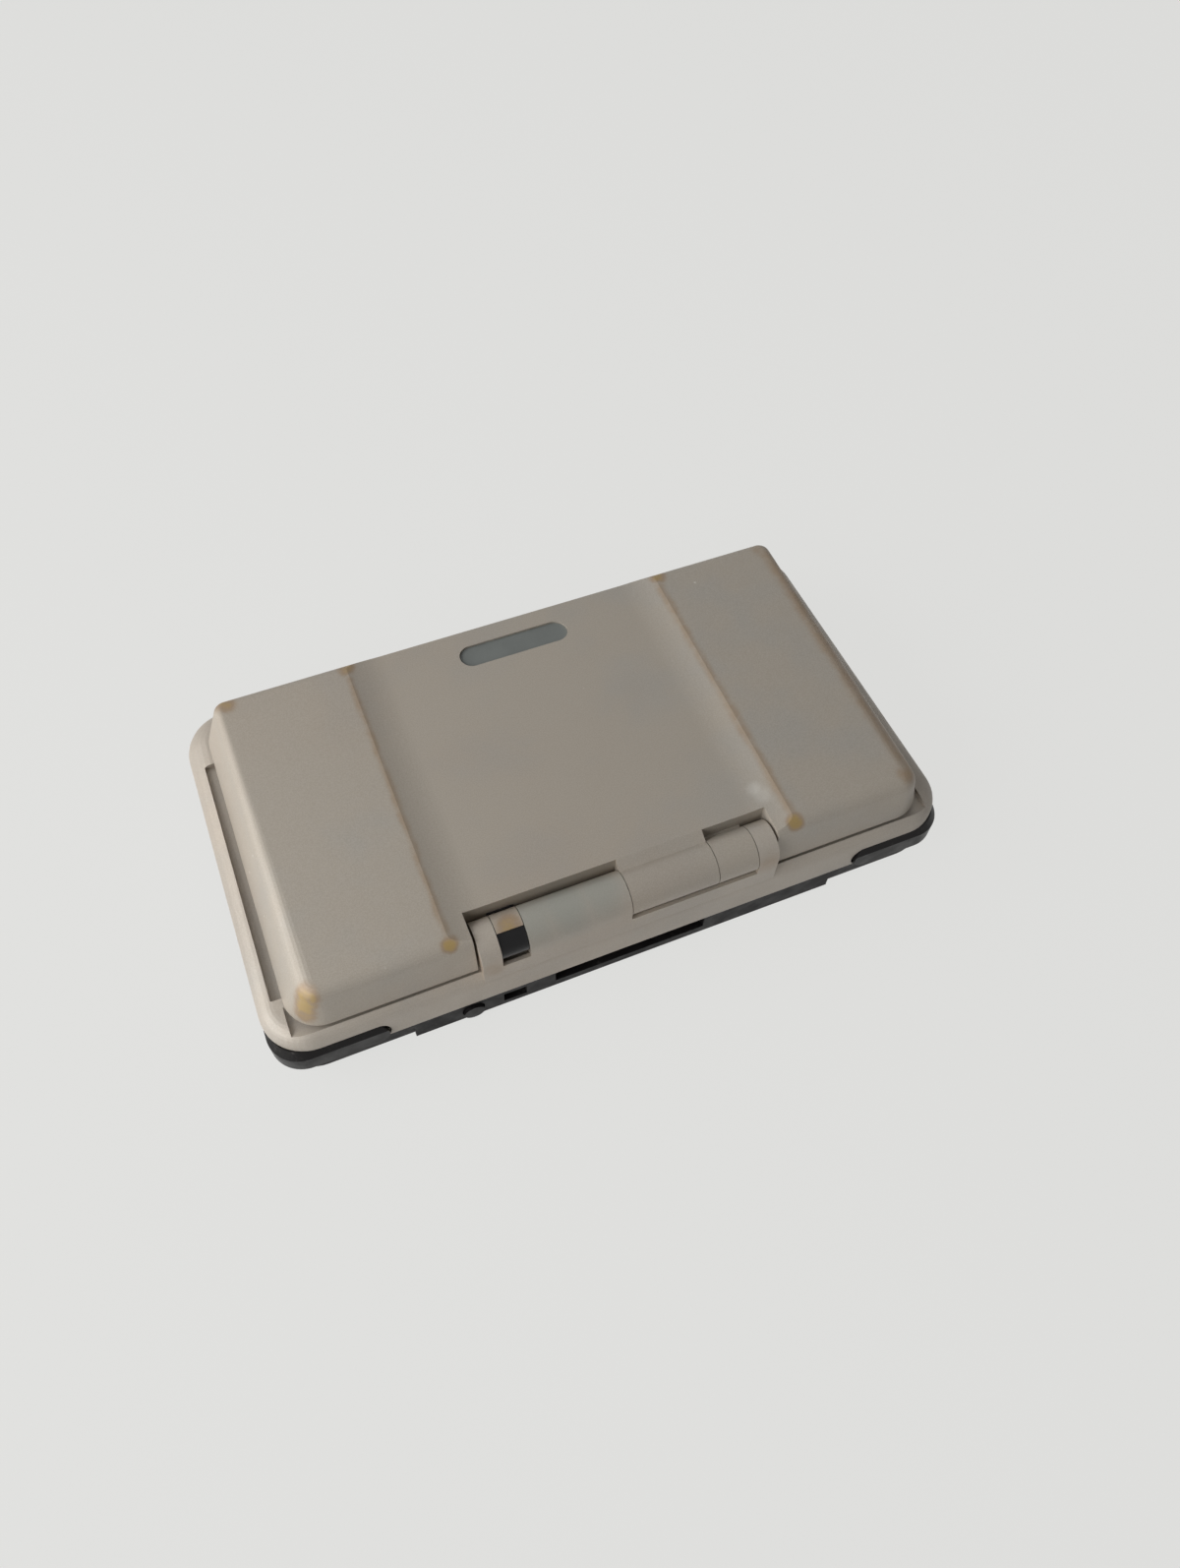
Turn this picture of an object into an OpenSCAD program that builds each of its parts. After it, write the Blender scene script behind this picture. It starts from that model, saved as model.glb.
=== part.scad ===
// Clamshell handheld game console with two displays, shown closed. Millimetres.
// +Z is up, +Y points to the hinge and +X to the user's right hand. The origin lies under the
// middle of the whole object, on the surface that its rubber feet stand on.

/* [Overall] */
// Overall width, which is the width of the base
body_w = 148.7; // [124:0.1:180]
// Overall depth, from the front edge of the base to the shoulder buttons
body_d = 84.7; // [78:0.1:102]
// Overall height with the lid closed
body_h = 28.9; // [28:0.1:36]

/* [Base] */
// Height of the seam between base and lid
seam_z = 17.6; // [17.2:0.1:18.2]
// Width of the seam, which is also the air between lid and base
seam_gap = 0.3; // [0.2:0.05:0.5]
// Height at which the upper casing meets the lower casing
split_z = 7.5; // [7.2:0.1:8]
// Plan radius of the base's two front corners
base_front_r = 10; // [8:0.5:15]
// Plan radius of the base's two rear corners
base_rear_r = 9.5; // [7:0.5:11]
// Radius along the base's top edge at the front
base_edge_r = 6; // [4:0.1:6.5]
// Radius along the base's top edge at the back
base_rear_edge_r = 3.5; // [2.5:0.1:4]
// How far the lower casing stands back from the upper casing
skirt_step = 0.45; // [0.2:0.05:0.8]
// Wall of both base casings
base_wall = 1.5; // [1.2:0.1:2]
// Floor of the lower casing
floor_wall = 0.9; // [0.8:0.1:1.2]
// Half the width of the middle of the back, where the lower casing stands nearly flush
back_half = 47; // [44:0.5:48]
// Height of the rubber feet
foot_h = 0.6; // [0.4:0.1:0.8]
// Diameter of a rubber foot
foot_d = 8; // [6:0.5:10]
// Depth of the control face below the seam
face_drop = 1.7; // [1.5:0.1:2]
// Width of the rim between the control face and the lid's side edge
rim_w = 3.4; // [2.5:0.1:5]
// Length of a finger recess along the side
recess_l = 58; // [40:1:64]
// How far a finger recess reaches out from the lid's edge
recess_w = 2.2; // [1:0.1:2.4]

/* [Lid] */
// How far each side of the lid stands in from the base
lid_side_step = 5.4; // [4:0.05:6]
// How far the front of the lid stands back from the base
lid_front_step = 5.2; // [3:0.1:6]
// How far the back of the lid stands in from the back of the base
lid_rear_step = 2; // [1.6:0.05:3]
// How far the lid's front and sides lean in from bottom to top
lid_lean = 3.9; // [2:0.1:4.4]
// How far the lid's back leans in from bottom to top
lid_rear_lean = 1; // [0.5:0.1:2]
// Plan radius of the lid's front corners at the bottom
lid_corner_r = 6; // [6:0.5:9]
// Plan radius of the lid's rear corners at the bottom
lid_rear_corner_r = 7.5; // [7.5:0.5:9]
// Radius along the lid's top edge at the front
lid_edge_r = 2; // [1:0.1:2.2]
// Radius along the lid's top edge at the back
lid_rear_edge_r = 4.2; // [3.6:0.1:4.4]
// Wall of the lid's outer cover
lid_wall = 1.3; // [1:0.1:1.6]
// Distance between the two ridges on the lid
ridge_gap = 72.8; // [66:0.2:84]
// Width of the hollow slope on the inner side of each ridge
ridge_slope = 8.4; // [5:0.2:10]
// Depth of the middle panel below the side lobes
panel_drop = 1.2; // [0.6:0.1:1.6]
// Length of the plain oval badge
badge_l = 25; // [16:0.2:36]
// Width of the plain oval badge
badge_w = 5.7; // [4:0.1:8]
// Depth of the badge's recess
badge_drop = 0.8; // [0.4:0.1:0.9]
// Distance from the lid's front edge to the badge's centre
badge_inset = 10.6; // [9:0.1:14]

/* [Hinge] */
// Outer radius of the hinge barrels
barrel_r = 4.65; // [4.5:0.05:5]
// Height of the hinge axis above the seam
hinge_rise = 5; // [4.8:0.05:5.3]
// Distance from the lid's back edge forward to the hinge axis
hinge_inset = 2.8; // [2.4:0.05:3]
// Air around the barrels in the lid's notch
barrel_air = 0.3; // [0.2:0.05:0.4]
// Air between neighbouring barrels
barrel_gap = 0.15; // [0.1:0.01:0.25]
// Length of the knuckle at the right end
knuckle_right_l = 4.1; // [3.5:0.1:6]
// Length of the black hinge drum
drum_l = 5.6; // [4:0.1:8]
// Length of the long barrel on the base
base_barrel_l = 21.5; // [18:0.1:26]
// Length of the barrel on the lid
lid_barrel_l = 18.8; // [16:0.1:24]
// Length of the detent barrel
detent_l = 8.8; // [7:0.1:12]
// Length of the knuckle at the left end
knuckle_left_l = 4.5; // [3.5:0.1:6]
// Radius of the hinge pins
pin_r = 1.25; // [1:0.05:1.4]
// Running clearance of a turning bore on its pin
run_clear = 0.05; // [0.02:0.01:0.08]

/* [Displays] */
// Width of the visible part of each display
view_w = 62; // [56:0.5:62]
// Depth of the visible part of each display
view_d = 46.5; // [42:0.5:48]
// Thickness of the touch panel and of the lid's window
glass_t = 1; // [0.8:0.1:1.1]
// Thickness of a display module
display_t = 2.8; // [2.4:0.1:3]

/* [Controls] */
// Distance from the base's side to the middle of each control cluster
cluster_inset = 20.4; // [18:0.1:23]
// Distance of both clusters in front of the base's middle
cluster_front = 1; // [-2:0.5:4]
// Diameter of a round button
button_d = 7.4; // [6:0.1:8]
// Distance of each round button from its cluster's centre
button_pitch = 7.3; // [7:0.1:8]
// Span of the control pad
pad_span = 21; // [18:0.5:22]
// Width of an arm of the control pad
pad_arm_w = 7; // [6:0.1:8]
// How far the buttons stand above the control face
button_rise = 1.4; // [1:0.1:1.5]
// Air around a button in its hole
button_air = 0.2; // [0.15:0.05:0.35]
// How far a button can be pressed
button_travel = 0.9; // [0.6:0.1:1]
// How far the shoulder buttons stand proud at the back
shoulder_proud = 0.7; // [0.4:0.1:1]
// Length of a shoulder button along the back
shoulder_l = 22.6; // [18:0.1:24]
// Length of a shoulder button along the side
shoulder_side_l = 9; // [8:0.1:12]
// Plan radius of a shoulder button's corner
shoulder_r = 7; // [6:0.5:8]
// Lowest point of a shoulder button
shoulder_low_z = 6.8; // [6.4:0.1:7]
// Highest point of a shoulder button
shoulder_top_z = 12.8; // [12.4:0.1:14]
// Length of the volume slider's knob
slider_l = 7; // [5:0.5:9]
// How far the volume slider moves to each side
slider_travel = 4; // [2:0.5:5]

/* [Sockets] */
// Width of the game card slot in the back
card_w = 33.6; // [33:0.1:36]
// Height of the game card slot
card_h = 4.2; // [4.1:0.05:4.4]
// Depth of the game card slot
card_d = 31; // [28:0.5:31]
// Width of the cartridge slot in the front
cartridge_w = 58.4; // [50:0.2:60]
// Height of the cartridge slot
cartridge_h = 7.5; // [7:0.1:7.6]
// Depth of the cartridge slot
cartridge_d = 35; // [30:0.5:36]
// Radius of the headphone socket's bore
jack_r = 1.8; // [1.75:0.05:1.85]
// Depth of the headphone socket's bore
jack_depth = 13; // [12:0.5:15]
// Diameter of the stylus
stylus_d = 4.3; // [4:0.1:4.6]
// Length of the stylus
stylus_l = 72; // [60:1:74]
// Distance of the stylus to the right of the middle
stylus_x = 34.6; // [34:0.1:37]
// Width of the power inlet
power_w = 4.9; // [4:0.1:6]
// Distance of the power inlet to the right of the middle
power_x = 25.6; // [24:0.1:27]

/* [Fasteners] */
// Shank radius of the casing screws
screw_r = 0.9; // [0.8:0.05:1]
// Head radius of the casing screws
screw_head_r = 1.9; // [1.7:0.1:2.1]
// Outer radius of the bosses that take the screws
boss_r = 2.2; // [2:0.1:2.6]

/* [Hidden] */
$fn = 64;
// A cut runs this far past the face that it goes through.
past = 1;
// Pieces that a casing holds stay this far from it.
fit_air = 0.1;
// The rear corner posts of the lid stand in by this much, which keeps its side faces clean.
rear_post_in = 0.02;
// A fixed pin or screw has this clearance in its hole.
held_air = 0.01;

silver = "#b5aba0";
black = "#232124";
grey = "#6f7478";
dark_glass = "#2d3338";
rubber_grey = "#3a3a3c";
steel = "#c4c6c8";
board_green = "#24553a";

base_top = seam_z - seam_gap / 2;
lid_bottom = seam_z + seam_gap / 2;
lid_h = body_h - lid_bottom;
base_d = body_d - shoulder_proud;
base_cy = -shoulder_proud / 2;
base_rear_y = base_cy + base_d / 2;
base_front_y = -body_d / 2;
skirt_w = body_w - 2 * skirt_step;
skirt_d = base_d - 2 * skirt_step;
skirt_rear_y = base_cy + skirt_d / 2;
skirt_front_y = base_cy - skirt_d / 2;
face_z = seam_z - face_drop;
face_wall = 1.4;
face_under_z = face_z - face_wall;
floor_z = foot_h + floor_wall;

lid_w = body_w - 2 * lid_side_step;
lid_front_y = base_front_y + lid_front_step;
lid_rear_y = base_rear_y - lid_rear_step;
lid_d = lid_rear_y - lid_front_y;
lid_cy = (lid_front_y + lid_rear_y) / 2;
panel_z = body_h - panel_drop;
lid_inner_z = panel_z - lid_wall;

hinge_y = lid_rear_y - hinge_inset;
hinge_z = seam_z + hinge_rise;
hinge_half = (knuckle_right_l + drum_l + base_barrel_l + lid_barrel_l + detent_l + knuckle_left_l) / 2;
drum_x = hinge_half - knuckle_right_l;
base_barrel_x = drum_x - drum_l;
lid_barrel_x = base_barrel_x - base_barrel_l;
detent_x = lid_barrel_x - lid_barrel_l;
knuckle_left_x = detent_x - detent_l;
notch_half = hinge_half + 0.55;
notch_y = hinge_y - barrel_r - barrel_air;
lid_reach = max(norm([lid_rear_y - hinge_y, hinge_z - lid_bottom]), body_h - hinge_z);
cradle_z = hinge_z - barrel_r * sin(41);
ribbon_bore_r = 2.6;
pin_hold_l = 3.4;

face_w = lid_w - 2 * rim_w;
face_front_y = lid_front_y + 1.6;
face_rear_y = notch_y - 0.4;
face_d = face_rear_y - face_front_y;
face_cy = (face_front_y + face_rear_y) / 2;
recess_cy = base_cy + 2.5;

glass_w = view_w + 6;
glass_d = view_d + 6;
display_w = view_w + 8;
display_d = view_d + 7;
screen_cy = face_cy - 0.5;
lid_screen_cy = face_cy - 1;

cluster_x = body_w / 2 - cluster_inset;
cluster_y = base_cy - cluster_front;
small_button_y = cluster_y + 22;
small_button_l = 5.2;
small_button_w = 2.8;
start_x = cluster_x + 5;
select_x = cluster_x - 5;
power_button_x = -cluster_x;
button_top = face_z + button_rise;
pad_air = button_air + 0.1;
pad_top = button_top - 0.2;
pad_flange_t = 0.45;
flange_top = face_under_z - 0.15;
flange_t = 0.8;
flange_low = flange_top - flange_t;
mat_dome_top = flange_low - 0.05 - button_travel;

board_t = 1;
board_z = floor_z + cartridge_h + 0.1;
board_top = board_z + board_t;
board_w = skirt_w - 2 * (base_wall + 8.2);
board_front_y = skirt_front_y + base_wall + 1;
board_rear_y = hinge_y - 4.6;
mat_t = 0.7;

shoulder_end_x = body_w / 2 - shoulder_l;
shoulder_end_y = body_d / 2 - shoulder_side_l;
shoulder_mid_z = shoulder_top_z - 1.7;
shoulder_end_r = (shoulder_top_z - shoulder_low_z) / 2;
shoulder_t = 3.2;
pivot_x = shoulder_end_x + 2.9;
pivot_y = body_d / 2 - 5.2;
pivot_r = 1;
lug_low = shoulder_low_z + 1.2;
lug_high = shoulder_mid_z - 1;
pivot_top = face_z - 0.5;

screw_sites = [
    [face_w / 2 - 3, skirt_front_y + 5.5], [-face_w / 2 + 3, skirt_front_y + 5.5],
    [hinge_half + 10, skirt_rear_y - 4.6], [-hinge_half - 10, skirt_rear_y - 4.6],
    [cartridge_w / 2 + 4.3, skirt_front_y + 4.6], [-cartridge_w / 2 - 4.3, skirt_front_y + 4.6]
];
screw_l = 8;
head_t = 1.1;
lid_screw_sites = [
    [lid_w / 2 - 7, lid_front_y + 7], [-lid_w / 2 + 7, lid_front_y + 7],
    [lid_w / 2 - 7, lid_rear_y - 7], [-lid_w / 2 + 7, lid_rear_y - 7]
];
lid_screw_l = 6;

frame_t = 1.2;
frame_z = lid_bottom + 0.1;
frame_top = frame_z + frame_t;
speaker_x = lid_w / 2 - 16;
speaker_y = lid_screen_cy;
speaker_r = 7.5;
speaker_t = 3;

battery_w = 31;
battery_d = 46;
battery_h = 5.6;
battery_cx = -body_w / 2 + 24.8;
battery_cy = base_cy - 1;
cover_w = battery_w + 3;
cover_d = battery_d + 10;
cover_air = 0.2;
cover_t = 0.8;
battery_screw_y = battery_cy + battery_d / 2 + 3;
foot_x = skirt_w / 2 - 20;

card_z = split_z - card_h;
cartridge_z = floor_z;
stylus_z = floor_z + 2.5;
stylus_rear_y = body_d / 2 - 0.15;
stylus_air = 0.25;
jack_x = cartridge_w / 2 + 21;
jack_z = (floor_z + split_z) / 2;
jack_body_r = 2.7;
slider_x = -cartridge_w / 2 - 21;
slider_z = jack_z;
slider_h = 2.2;
slider_run = slider_l / 2 + slider_travel + 0.3;
power_z = 2.6;
power_h = 3.2;
power_depth = 8;
led_y = face_front_y + 5;
led_gap = 5;
led_x = cluster_x + 6;
mic_x = cluster_x - 12.5;
mic_y = face_front_y + 4;

// ---- shared shapes -------------------------------------------------------------------------

// Flat rectangle with round corners.
module rounded_rect(w, d, r) {
    square([w - 2 * r, d], center = true);
    square([w, d - 2 * r], center = true);
    for (sx = [-1, 1], sy = [-1, 1])
        translate([sx * (w / 2 - r), sy * (d / 2 - r)]) circle(r);
}

// Upright slab with round corners between two heights, centred on x = 0 and y = cy.
module slab(w, d, r, low, high, cy = 0) {
    translate([0, cy, low]) linear_extrude(high - low) rounded_rect(w, d, r);
}

// Corner post whose top edge is rounded.
module soft_post(r, h, edge) {
    rotate_extrude($fn = 48)
        polygon(concat(
            [[0, 0], [r, 0]],
            [for (a = [0:11.25:90]) [r - edge + edge * cos(a), h - edge + edge * sin(a)]],
            [[0, h]]
        ));
}

// Corner post whose side leans in and whose top edge is rounded.
module leaning_post(r, h, lean, edge) {
    tilt = atan(lean / h);
    edge_x = r - lean - edge * tan(45 - tilt / 2);
    rotate_extrude($fn = 48)
        polygon(concat(
            [[0, 0], [r, 0]],
            [for (i = [0:7], a = tilt + (90 - tilt) * i / 7)
                [edge_x + edge * cos(a), h - edge + edge * sin(a)]],
            [[0, h]]
        ));
}

// Plan outline of the base, drawn in by the given inset.
module base_outline(inset) {
    half_w = body_w / 2 - inset;
    front_r = base_front_r - inset;
    rear_r = base_rear_r - inset;
    front_y = base_front_y + inset;
    rear_y = base_rear_y - inset;
    translate([-half_w, front_y + front_r]) square([2 * half_w, rear_y - rear_r - front_y - front_r]);
    translate([-half_w + front_r, front_y]) square([2 * (half_w - front_r), front_r + 1]);
    translate([-half_w + rear_r, rear_y - rear_r - 1]) square([2 * (half_w - rear_r), rear_r + 1]);
    for (side = [-1, 1]) {
        translate([side * (half_w - front_r), front_y + front_r]) circle(front_r);
        translate([side * (half_w - rear_r), rear_y - rear_r]) circle(rear_r);
    }
}

// Block on that outline whose rounded top edge has one radius in front and one at the back.
module base_block(inset, h, edge, rear_edge) {
    front_r = base_front_r - inset;
    rear_r = base_rear_r - inset;
    hull()
        for (side = [-1, 1]) {
            translate([side * (body_w / 2 - base_front_r), base_front_y + base_front_r, 0])
                soft_post(front_r, h, edge);
            translate([side * (body_w / 2 - base_rear_r), base_rear_y - base_rear_r, 0])
                soft_post(rear_r, h, rear_edge);
        }
}

// Round bar along X from one x to another, on the hinge axis.
module hinge_bar(from, to, r) {
    translate([from, hinge_y, hinge_z]) rotate([0, 90, 0]) cylinder(h = to - from, r = r);
}

// Profile in the YZ plane, pulled along X from one x to another.
module along_x(from, to) {
    translate([from, 0, 0]) rotate([90, 0, 90]) linear_extrude(to - from) children();
}

module box(low, high) {
    translate(low) cube(high - low);
}

module at_sites(sites, z) {
    for (site = sites) translate([site[0], site[1], z]) children();
}

// ---- base ------------------------------------------------------------------------------------

// A knuckle of the base: a barrel on a foot that runs down into the rear wall.
module base_knuckle(from, to) {
    hinge_bar(from, to, barrel_r);
    box([from, hinge_y - 2.4, face_z - 1], [to, hinge_y + barrel_r, hinge_z]);
}

module base_upper_casing() {
    color(silver)
    difference() {
        union() {
            difference() {
                translate([0, 0, split_z])
                    base_block(0, base_top - split_z, base_edge_r, base_rear_edge_r);
                translate([0, 0, split_z - past]) linear_extrude(face_under_z - split_z + past)
                    base_outline(base_wall + 0.6);
                slab(face_w, face_d, 3, face_z, body_h, face_cy);
                slab(lid_w + 2 * recess_w, recess_l, 0.4, face_z, body_h, recess_cy);
                // trough that the back of the lid swings through
                hinge_bar(-lid_w / 2 - 0.3, lid_w / 2 + 0.3, lid_reach + 0.1);
            }
            // raised cradle under the turning barrels
            difference() {
                box([-hinge_half, hinge_y - 1, face_z - 1],
                    [hinge_half, hinge_y + barrel_r, cradle_z]);
                hinge_bar(-hinge_half - past, hinge_half + past, barrel_r + barrel_air);
            }
            base_knuckle(drum_x + barrel_gap / 2, hinge_half);
            base_knuckle(lid_barrel_x + barrel_gap / 2, base_barrel_x - barrel_gap / 2);
            base_knuckle(-hinge_half, knuckle_left_x - barrel_gap / 2);
            at_sites(screw_sites, split_z) cylinder(h = face_under_z - split_z + 0.5, r = boss_r);
        }
        at_sites(screw_sites, split_z - past) cylinder(h = screw_l - 3, r = screw_r + held_air);
        // bores of the hinge
        hinge_bar(-hinge_half + 0.8, knuckle_left_x + past, pin_r + held_air);
        hinge_bar(base_barrel_x - pin_hold_l, hinge_half - 0.8, pin_r + held_air);
        hinge_bar(lid_barrel_x - past, base_barrel_x - pin_hold_l - 1, ribbon_bore_r);
        // passage of the display ribbon, from the long barrel down into the base
        box([lid_barrel_x + 8, hinge_y - 1.6, face_under_z - past],
            [lid_barrel_x + 16, hinge_y + 1.6, hinge_z]);
        // display opening and the seat of the touch panel
        translate([0, screen_cy, 0]) slab(view_w, view_d, 1, face_under_z - past, body_h);
        slab(glass_w + 2 * fit_air, glass_d + 2 * fit_air, 1, face_under_z - past, face_z - 0.5,
            screen_cy);
        // button holes
        translate([-cluster_x, cluster_y, face_under_z - past]) {
            linear_extrude(body_h) pad_cross(pad_span + 2 * pad_air, pad_arm_w + 2 * pad_air);
            cylinder(h = past + 0.3, r = pad_span / 2 + 1.6);
        }
        for (turn = [0:90:270])
            translate([cluster_x, cluster_y, face_under_z - past]) rotate([0, 0, turn])
                translate([button_pitch, 0, 0]) cylinder(h = body_h, r = button_d / 2 + button_air);
        for (x = [start_x, select_x, power_button_x])
            translate([x, small_button_y, face_under_z - past]) linear_extrude(body_h)
                rounded_rect(small_button_l + 2 * button_air, small_button_w + 2 * button_air,
                    small_button_w / 2 + button_air - 0.01);
        for (step = [0, 1])
            translate([led_x + step * led_gap, led_y, face_under_z - past]) cylinder(h = body_h, r = 1);
        translate([mic_x, mic_y, face_under_z - past]) cylinder(h = body_h, r = 0.6);
        // pockets of the shoulder buttons
        for (side = [-1, 1]) mirror([side < 0 ? 1 : 0, 0, 0]) shoulder_pocket();
        for (side = [-1, 1])
            translate([side * pivot_x, pivot_y, shoulder_top_z])
                cylinder(h = pivot_top - shoulder_top_z + 0.1, r = pivot_r + held_air);
        // front and back cut-outs that the slots share with the lower casing
        box([-cartridge_w / 2, base_front_y - past, split_z - past],
            [cartridge_w / 2, base_front_y + base_wall + past, cartridge_z + cartridge_h]);
    }
}

// Space that a shoulder button swings in, on the right.
module shoulder_pocket() {
    intersection() {
        box([shoulder_end_x - 0.5, pivot_y - 3.6, shoulder_low_z - 0.4],
            [shoulder_end_x + shoulder_end_r + 0.1, body_d / 2 + past, shoulder_top_z + 0.15]);
        translate([shoulder_end_x + shoulder_end_r, pivot_y - 4, shoulder_low_z + shoulder_end_r])
            rotate([-90, 0, 0]) cylinder(h = 12, r = shoulder_end_r + 0.5);
    }
    box([shoulder_end_x + shoulder_end_r, pivot_y - 3.6, shoulder_low_z - 0.4],
        [body_w / 2 + past, body_d / 2 + past, shoulder_top_z + 0.15]);
    box([body_w / 2 - 5.6, shoulder_end_y - 1.6, shoulder_low_z - 0.4],
        [body_w / 2 + past, body_d / 2, shoulder_top_z + 0.15]);
}

module base_lower_casing() {
    color(black)
    difference() {
        union() {
            difference() {
                translate([0, 0, split_z]) mirror([0, 0, 1])
                    base_block(skirt_step, split_z - foot_h, 3, 3);
                translate([0, 0, floor_z]) linear_extrude(split_z) base_outline(skirt_step + base_wall);
            }
            // middle of the back, flush with the upper casing
            along_x(-back_half, back_half)
                polygon([
                    [skirt_rear_y - base_wall, foot_h], [base_rear_y - 0.7, foot_h],
                    [base_rear_y - 0.2, foot_h + 0.5], [base_rear_y - 0.2, split_z],
                    [skirt_rear_y - base_wall, split_z]
                ]);
            // walls of the battery bay, the ledge that its cover lies against and the cover's boss
            battery_block(battery_w + 2, battery_d + 2, floor_z - 0.2, floor_z + battery_h - 1);
            battery_block(cover_w + 2, cover_d + 2, floor_z - 0.2, floor_z + 0.8);
            translate([battery_cx, battery_screw_y, floor_z - 0.2]) cylinder(h = 3.4, r = 1.9);
            // tube of the stylus
            translate([stylus_x, stylus_rear_y - stylus_l - 3, stylus_z]) rotate([-90, 0, 0])
                cylinder(h = skirt_rear_y - 0.4 - stylus_rear_y + stylus_l + 3,
                    r = stylus_d / 2 + stylus_air + 0.8);
            // side walls of the two slots
            for (side = [-1, 1]) {
                mirror([side < 0 ? 1 : 0, 0, 0])
                    box([cartridge_w / 2, skirt_front_y + 0.6, floor_z - 0.2],
                        [cartridge_w / 2 + 0.9, skirt_front_y + cartridge_d, split_z - 0.2]);
                mirror([side < 0 ? 1 : 0, 0, 0])
                    box([card_w / 2, skirt_rear_y - card_d, floor_z - 0.2],
                        [card_w / 2 + 0.9, skirt_rear_y - 0.6, split_z - 0.2]);
            }
            // shelf under the card slot
            box([-card_w / 2, skirt_rear_y - card_d, card_z - 0.9],
                [card_w / 2, skirt_rear_y - 0.6, card_z]);
            at_sites(screw_sites, foot_h + 0.3) cylinder(h = split_z - foot_h - 0.5, r = boss_r + 0.6);
            for (side = [-1, 1])
                translate([side * pivot_x, pivot_y, floor_z - 0.2])
                    cylinder(h = lug_low - 0.8 - floor_z, r = pivot_r + 1.4);
            // posts under the switches of the shoulder buttons
            for (side = [-1, 1]) mirror([side < 0 ? 1 : 0, 0, 0])
                switch_block(floor_z - 0.2, shoulder_low_z);
        }
        // screw holes with their sunk heads
        at_sites(screw_sites, foot_h - past) cylinder(h = split_z + past, r = screw_r + held_air);
        at_sites(screw_sites, foot_h - past) cylinder(h = past + 2.4, r = screw_head_r + 0.15);
        // battery bay opening
        battery_block(cover_w + 2 * cover_air, cover_d + 2 * cover_air, foot_h - past,
            foot_h + cover_t + 0.05);
        battery_block(battery_w + 0.4, battery_d + 0.4, foot_h - past, split_z);
        translate([battery_cx, battery_screw_y, 0]) cylinder(h = split_z, r = 0.7 + held_air);
        // slots
        box([-cartridge_w / 2, skirt_front_y - past, cartridge_z],
            [cartridge_w / 2, skirt_front_y + cartridge_d, split_z + past]);
        box([-card_w / 2, skirt_rear_y - card_d, card_z],
            [card_w / 2, skirt_rear_y + past, split_z + past]);
        // stylus bore
        translate([stylus_x, stylus_rear_y - stylus_l - 1, stylus_z]) rotate([-90, 0, 0])
            cylinder(h = stylus_l + 4, r = stylus_d / 2 + stylus_air);
        // sockets
        translate([jack_x, skirt_front_y - past, jack_z]) rotate([-90, 0, 0])
            cylinder(h = base_wall + 2 * past, r = jack_body_r + held_air);
        box([slider_x - slider_run, skirt_front_y - past, slider_z - slider_h / 2 - 0.15],
            [slider_x + slider_run, skirt_front_y + base_wall + past, slider_z + slider_h / 2 + 0.15]);
        box([power_x - power_w / 2, skirt_rear_y - base_wall - past, power_z],
            [power_x + power_w / 2, skirt_rear_y + past, power_z + power_h]);
        for (side = [-1, 1]) mirror([side < 0 ? 1 : 0, 0, 0]) shoulder_pocket();
        for (side = [-1, 1])
            translate([side * pivot_x, pivot_y, floor_z + 0.8])
                cylinder(h = split_z, r = pivot_r + held_air);
    }
}

// Block where the switch of the right shoulder button stands.
module switch_block(low, high) {
    box([shoulder_end_x + 7, body_d / 2 - shoulder_t - 4.6, low],
        [shoulder_end_x + 11, body_d / 2 - shoulder_t - 1.8, high]);
}

module battery_block(w, d, low, high) {
    box([battery_cx - w / 2, battery_cy - d / 2, low], [battery_cx + w / 2, battery_cy + d / 2, high]);
}

module touch_panel() {
    color(dark_glass)
        slab(glass_w, glass_d, 1, face_z - 0.5 - glass_t, face_z - 0.5, screen_cy);
}

module lower_display() {
    color(steel)
        slab(display_w, display_d, 1, face_z - 0.6 - glass_t - display_t, face_z - 0.6 - glass_t,
            screen_cy);
}

module mainboard() {
    color(board_green)
    difference() {
        box([-board_w / 2, board_front_y, board_z], [board_w / 2, board_rear_y, board_top]);
        at_sites(screw_sites, 0) cylinder(h = body_h, r = boss_r + 1.2);
        for (side = [-1, 1]) mirror([side < 0 ? 1 : 0, 0, 0]) {
            box([shoulder_end_x - 1.5, pivot_y - 5, 0], [body_w, body_d, body_h]);
            box([face_w / 2 - 3, -body_d, 0], [body_w, skirt_front_y + 5.5, body_h]);
        }
    }
}

module wireless_board() {
    color(board_green)
        box([-cluster_x - 4, board_front_y + 5, board_top + 0.1],
            [-cluster_x + 12, board_front_y + 21, board_top + 1.1]);
    color(steel)
        box([-cluster_x - 2, board_front_y + 7, board_top + 1.1],
            [-cluster_x + 10, board_front_y + 19, board_top + 2.3]);
}

module battery() {
    color(grey)
        battery_block(battery_w, battery_d, foot_h + cover_t + 0.1, foot_h + cover_t + 0.1 + battery_h);
}

module battery_cover() {
    color(black)
    difference() {
        battery_block(cover_w, cover_d, foot_h, foot_h + cover_t);
        translate([battery_cx, battery_screw_y, foot_h - past]) cylinder(h = past + 0.5, r = 1.3);
        translate([battery_cx, battery_screw_y, foot_h - past]) cylinder(h = 3, r = 0.7 + held_air);
        for (row = [0:4])
            box([battery_cx - 6, battery_cy - 12 + row * 2.4, foot_h - past],
                [battery_cx + 6, battery_cy - 11 + row * 2.4, foot_h + 0.3]);
    }
}

module battery_cover_screw() {
    color(steel)
    difference() {
        translate([battery_cx, battery_screw_y, foot_h]) {
            cylinder(h = 0.45, r = 1.2);
            cylinder(h = 3.4, r = 0.7);
        }
        cross_recess(battery_cx, battery_screw_y, foot_h, 0.8);
    }
}

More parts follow.
